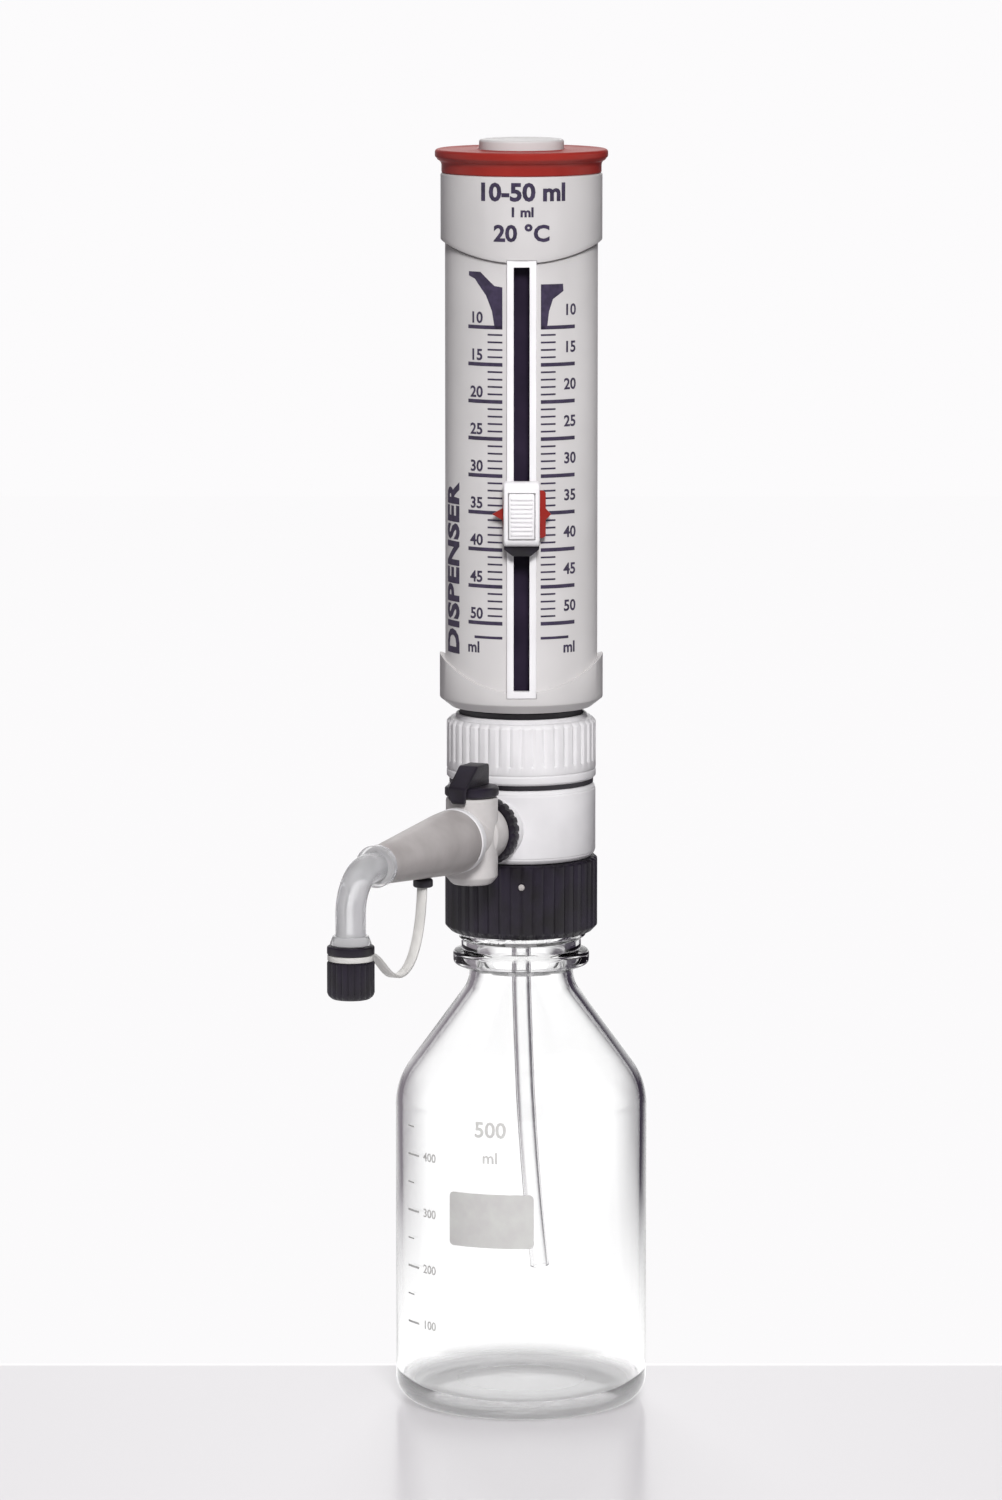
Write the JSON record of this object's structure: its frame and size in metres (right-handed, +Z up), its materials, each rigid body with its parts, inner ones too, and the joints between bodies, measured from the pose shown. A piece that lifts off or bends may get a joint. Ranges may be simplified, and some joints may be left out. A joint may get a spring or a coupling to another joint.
{
  "type": "bottle-top dispenser",
  "caption": "Bottle-top liquid dispenser with lift sleeve, volume slider, stopcock and curved spout, screwed on a round glass laboratory bottle.",
  "frame": {"origin": "centre of the bottle's base, on the surface it stands on", "axes": "+Z up along the bottle, barrel and sleeve; the slot and its scale face -Y; the outlet points 65 degrees from -X towards -Y"},
  "size_m": [0.1065, 0.1702, 0.4328],
  "materials": {
    "borosilicate_glass": "clear blown borosilicate glass",
    "barrel_glass": "clear ground glass tube",
    "clear_fluoropolymer": "clear extruded fluoropolymer tube",
    "black_plastic": "black moulded polypropylene",
    "white_plastic": "white moulded polypropylene",
    "sleeve_plastic": "pale grey moulded plastic",
    "red_plastic": "dark red moulded plastic",
    "grey_plastic": "grey moulded polypropylene",
    "tap_plastic": "light grey moulded plastic",
    "cage_plastic": "black moulded plastic",
    "valve_plastic": "white turned fluoropolymer",
    "ceramic": "ground ceramic",
    "steel": "drawn or turned steel",
    "seal_rubber": "moulded elastomer",
    "strap_plastic": "natural polyethylene strap",
    "rod_plastic": "turned rod"
  },
  "bodies": {
    "bottle": {"reagent_bottle": "borosilicate_glass"},
    "head": {"mouth_seal": "valve_plastic", "valve_head": "white_plastic", "suction_tube": "clear_fluoropolymer", "inlet_seat": "valve_plastic", "inlet_cage": "valve_plastic", "clamp_nut": "white_plastic", "barrel_seal": "seal_rubber", "glass_barrel": "barrel_glass", "barrel_holder": "cage_plastic", "guide_cage": "cage_plastic", "damper_ring": "seal_rubber", "groove_ring": "seal_rubber", "outlet_seal": "seal_rubber", "outlet_nut": "black_plastic", "tap_body": "tap_plastic", "nozzle_housing": "grey_plastic", "outlet_seat": "valve_plastic", "outlet_spring": "steel", "spring_stop": "valve_plastic", "spout_tube": "clear_fluoropolymer", "spout_collar": "clear_fluoropolymer", "strap_stud": "black_plastic", "cap_strap": "strap_plastic"},
    "nut": {"bottle_nut": "black_plastic"},
    "inlet_valve": {"inlet_ball": "ceramic"},
    "outlet_valve": {"outlet_ball": "ceramic"},
    "tap": {"tap_plug": "valve_plastic", "tap_knob": "black_plastic"},
    "closure": {"spout_cap": "black_plastic"},
    "sleeve": {"scale_sleeve": "sleeve_plastic", "slot_liner": "white_plastic", "lift_plate": "cage_plastic", "red_cap": "red_plastic", "cap_disc": "tap_plastic", "cap_screw": "steel", "piston_rod": "rod_plastic", "piston_head": "valve_plastic", "piston_seals": "seal_rubber"},
    "slider": {"slider_grip": "white_plastic", "pointer_plate": "red_plastic", "slider_shoe": "cage_plastic"},
    "button": {"release_button": "white_plastic"}
  },
  "joints": [
    {"name": "head_unscrew", "type": "slide", "parent": "bottle", "child": "head", "axis": [0, 0, 1], "range_m": [0, 0.012]},
    {"name": "bottle_nut_turn", "type": "hinge", "parent": "head", "child": "nut", "pos_m": [0, 0, 0.185], "axis": [0, 0, 1], "range_deg": [0, 1080.5]},
    {"name": "sleeve_lift", "type": "slide", "parent": "head", "child": "sleeve", "axis": [0, 0, 1], "range_m": [0, 0.12464]},
    {"name": "volume_set", "type": "slide", "parent": "sleeve", "child": "slider", "axis": [0, 0, 1], "range_m": [-0.03739, 0.06232]},
    {"name": "release_press", "type": "slide", "parent": "slider", "child": "button", "axis": [0, 1, 0], "range_m": [0, 0.0012], "stiffness_N_per_m": 400, "springref_m": -0.001},
    {"name": "tap_turn", "type": "hinge", "parent": "head", "child": "tap", "pos_m": [-0.01669, -0.0358, 0.215], "axis": [0, 0, 1], "range_deg": [0, 90]},
    {"name": "closure_pull", "type": "slide", "parent": "head", "child": "closure", "axis": [0, 0, -1], "range_m": [0, 0.016], "deforming": ["cap_strap"]},
    {"name": "inlet_ball_lift", "type": "slide", "parent": "head", "child": "inlet_valve", "axis": [0, 0, 1], "range_m": [0, 0.0015]},
    {"name": "outlet_ball_open", "type": "slide", "parent": "head", "child": "outlet_valve", "axis": [-0.4226, -0.9063, 0], "range_m": [0, 0.0015], "stiffness_N_per_m": 60, "springref_m": -0.002, "deforming": ["outlet_spring"]}
  ],
  "couplings": [
    {"joint": "bottle_nut_turn", "follows": "head_unscrew", "rad_per_m": 1570.8}
  ]
}
